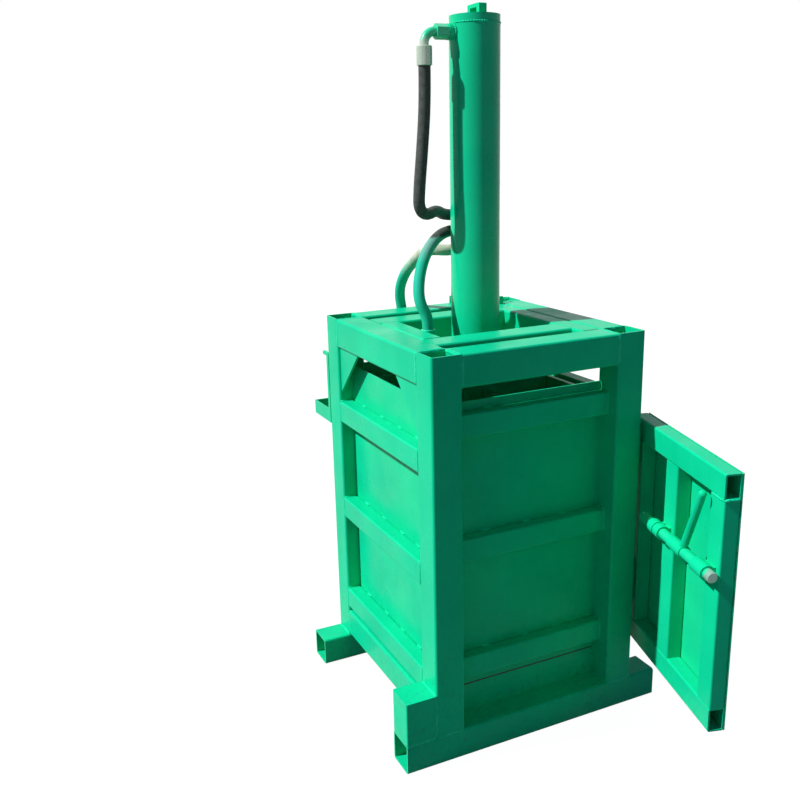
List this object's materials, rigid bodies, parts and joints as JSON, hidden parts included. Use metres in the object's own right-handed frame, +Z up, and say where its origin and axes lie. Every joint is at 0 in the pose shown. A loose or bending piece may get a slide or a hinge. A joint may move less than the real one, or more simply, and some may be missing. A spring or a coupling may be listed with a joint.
{
  "type": "vertical hydraulic press",
  "caption": "Vertical hydraulic baling press: a box-section frame with a top cylinder, a moving platen in the chamber and a side-hung door with a sliding latch.",
  "frame": {"origin": "on the axis of the press cylinder, at the floor", "axes": "+Z up, -Y the front face, -X the closed left face, +X the door side"},
  "size_m": [0.764, 1.183, 1.835],
  "materials": {
    "green_paint": "gloss",
    "bare_steel": "satin",
    "chrome_rod": "polished",
    "zinc_fitting": "zinc plated",
    "black_rubber": "matt"
  },
  "bodies": {
    "frame": {"base_beam": "green_paint", "cylinder_barrel": "green_paint", "cylinder_gland": "green_paint", "door_header": "green_paint", "flange_bolts": "bare_steel", "floor_plate": "green_paint", "front_cross_beam": "green_paint", "front_foot": "green_paint", "front_left_post": "green_paint", "front_left_riser": "green_paint", "front_panel": "green_paint", "front_rib_1": "green_paint", "front_rib_2": "green_paint", "front_rib_3": "green_paint", "front_right_post": "green_paint", "front_top_beam": "green_paint", "head_plate": "green_paint", "hinge_pins": "bare_steel", "hose_ferrules": "zinc_fitting", "hose_manifold": "green_paint", "latch_keeper": "green_paint", "left_bottom_rail": "green_paint", "left_inner_bar": "green_paint", "left_panel": "green_paint", "left_rib_1": "green_paint", "left_rib_2": "green_paint", "left_rib_3": "green_paint", "left_top_beam": "green_paint", "lifting_eye": "green_paint", "lower_elbow": "zinc_fitting", "lower_hose": "black_rubber", "post_hinge_leaves": "green_paint", "rear_cross_beam": "green_paint", "rear_foot": "green_paint", "rear_left_post": "green_paint", "rear_panel": "green_paint", "rear_right_post": "green_paint", "rear_top_beam": "green_paint", "rear_tray": "green_paint", "right_bottom_rail": "green_paint", "right_inner_bar": "green_paint", "right_top_beam": "green_paint", "supply_coupling": "zinc_fitting", "supply_hose": "black_rubber", "top_elbow": "zinc_fitting", "top_hose": "black_rubber"},
    "ram": {"piston": "bare_steel", "piston_seal": "black_rubber", "piston_rod": "chrome_rod", "platen": "green_paint"},
    "door": {"door_bottom_rail": "green_paint", "door_free_stile": "green_paint", "door_hinge_leaves": "green_paint", "door_hinge_stile": "green_paint", "door_mid_stile": "green_paint", "door_panel": "green_paint", "door_top_rail": "green_paint", "latch_sleeves": "green_paint"},
    "latch_bar": {"latch_bar": "green_paint"},
    "latch_lever": {"latch_lever": "green_paint"}
  },
  "joints": [
    {"name": "ram_slide", "type": "slide", "parent": "frame", "child": "ram", "axis": [0, 0, -1], "range_m": [0, 0.6]},
    {"name": "door_hinge", "type": "hinge", "parent": "frame", "child": "door", "pos_m": [0.318, -0.245, 0.5], "axis": [0, 0, 1], "range_deg": [0, 196]},
    {"name": "latch_slide", "type": "slide", "parent": "door", "child": "latch_bar", "axis": [-0.2756, -0.9613, 0], "range_m": [0, 0.05]},
    {"name": "latch_turn", "type": "hinge", "parent": "latch_bar", "child": "latch_lever", "pos_m": [0.22526, -0.56118, 0.578], "axis": [-0.2756, -0.9613, 0], "range_deg": [0, 90]}
  ]
}
